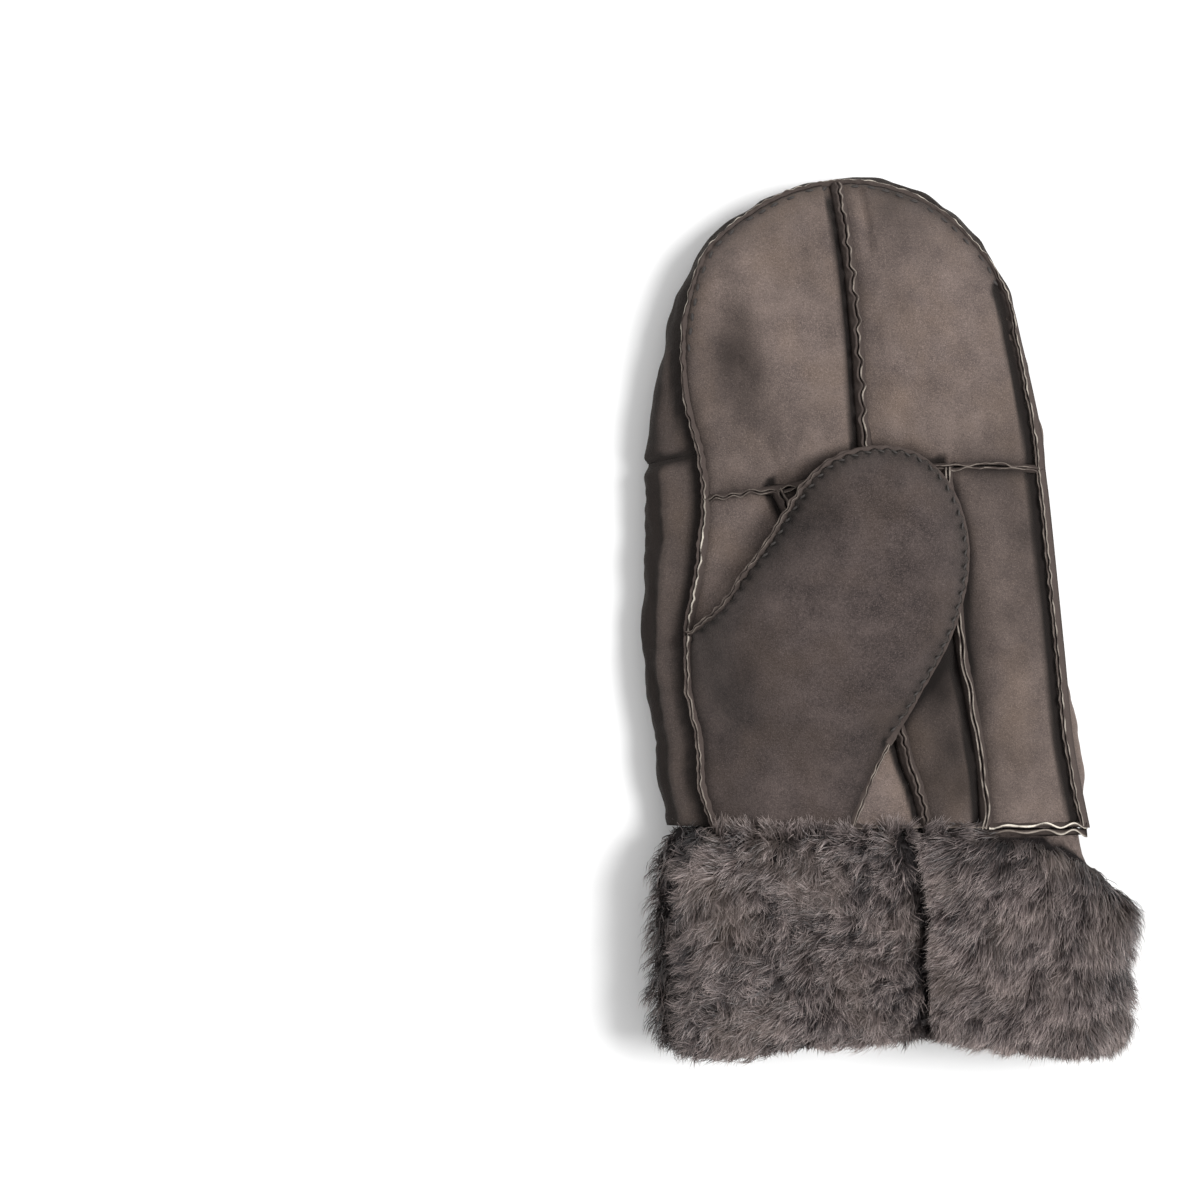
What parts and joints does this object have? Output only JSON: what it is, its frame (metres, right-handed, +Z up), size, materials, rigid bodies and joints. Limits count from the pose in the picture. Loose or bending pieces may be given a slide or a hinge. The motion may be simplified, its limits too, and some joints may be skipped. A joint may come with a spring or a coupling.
{
  "type": "fur mitten",
  "caption": "Left-hand suede mitten with a turned fur cuff, patchwork palm and sewn-on thumb, lying palm up and open at the wrist.",
  "frame": {"origin": "on the flat underside of the back of the hand, which is what the mitten lies on", "axes": "+X across the palm towards the outer side, +Y from the cuff to the fingertips, +Z up from the table to the palm and thumb"},
  "size_m": [0.152, 0.2697, 0.059],
  "materials": {
    "suede": "napped suede, matt",
    "thumb_suede": "napped suede, matt, a little darker",
    "fur": "dense curly wool pile"
  },
  "bodies": {
    "root": {"finger_front_thumb_side": "suede", "finger_front_outer_side": "suede", "palm_under_thumb": "suede", "palm_middle": "suede", "palm_outer": "suede", "thumb_front": "thumb_suede", "thumb_back": "thumb_suede", "side_strip_thumb": "suede", "side_strip_tip": "suede", "side_strip_outer": "suede", "back_hand": "suede", "back_fingers": "suede", "cuff_front_outer": "fur", "cuff_front_thumb": "fur", "cuff_back": "fur"}
  },
  "joints": []
}
